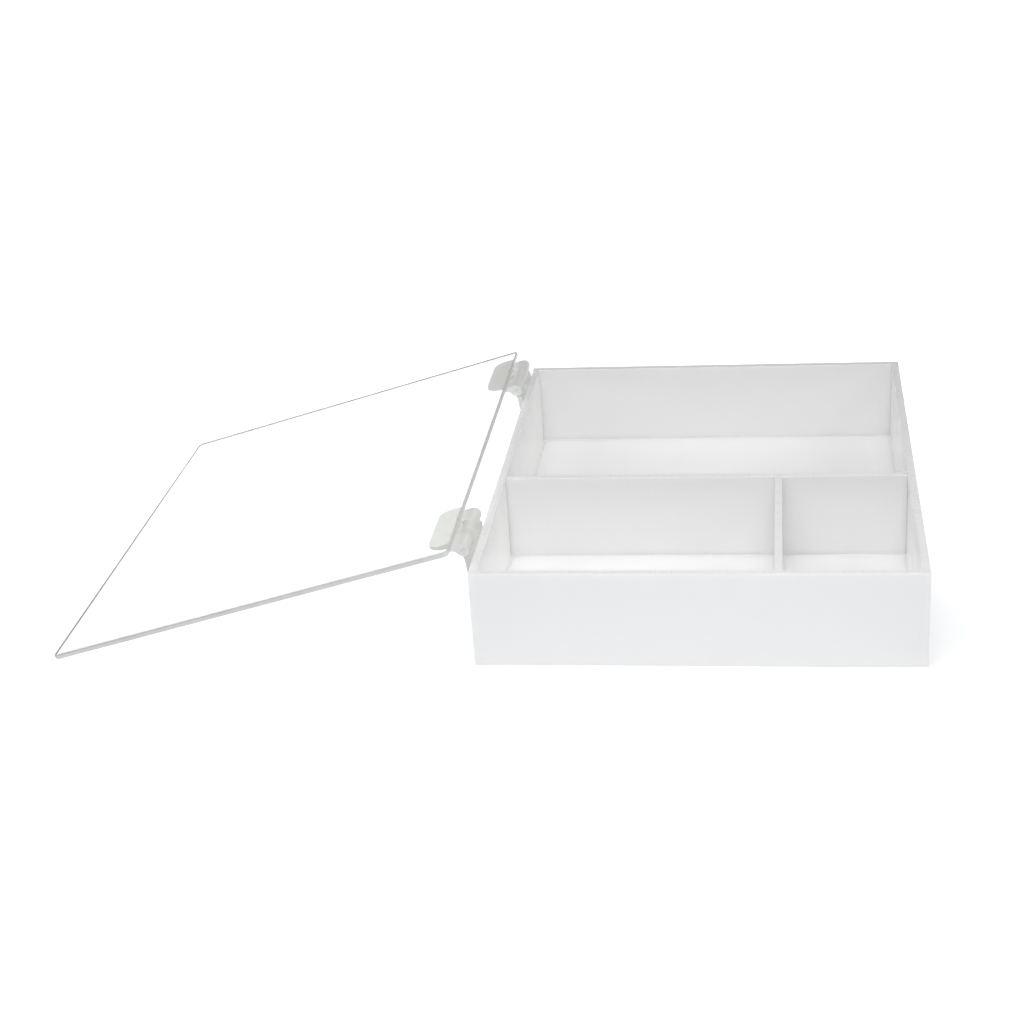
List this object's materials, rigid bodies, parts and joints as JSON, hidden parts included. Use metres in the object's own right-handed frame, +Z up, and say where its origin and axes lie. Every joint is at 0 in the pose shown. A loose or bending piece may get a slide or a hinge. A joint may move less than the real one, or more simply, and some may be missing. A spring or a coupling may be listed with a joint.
{
  "type": "compartment tray with hinged lid",
  "caption": "Flat open tray of white sheet with glued dividers and a clear lid on side hinges, for sorting and storing small parts.",
  "frame": {"origin": "centre of the tray's underside, on the table", "axes": "+X to the tray's right side, away from the hinges; +Y to the back; +Z up"},
  "size_m": [0.3201, 0.197, 0.0456],
  "materials": {
    "white_acrylic": "opaque white cast acrylic, glossy faces, polished edges",
    "clear_acrylic": "water-clear cast acrylic, polished edges that look grey",
    "hinge_acrylic": "milky translucent moulded acrylic, satin and slightly grey"
  },
  "bodies": {
    "tray": {"base_panel": "white_acrylic", "front_wall": "white_acrylic", "back_wall": "white_acrylic", "left_wall": "white_acrylic", "right_wall": "white_acrylic", "long_divider": "white_acrylic", "short_divider": "white_acrylic", "front_hinge_wall_leaf": "hinge_acrylic", "front_hinge_pin": "hinge_acrylic", "back_hinge_wall_leaf": "hinge_acrylic", "back_hinge_pin": "hinge_acrylic"},
    "lid": {"lid_panel": "clear_acrylic", "front_hinge_lid_leaf": "hinge_acrylic", "back_hinge_lid_leaf": "hinge_acrylic"}
  },
  "joints": [
    {"name": "lid_hinge", "type": "hinge", "parent": "tray", "child": "lid", "pos_m": [-0.0826, 0, 0.0419], "axis": [0, 1, 0], "range_deg": [0, 195.8]}
  ]
}
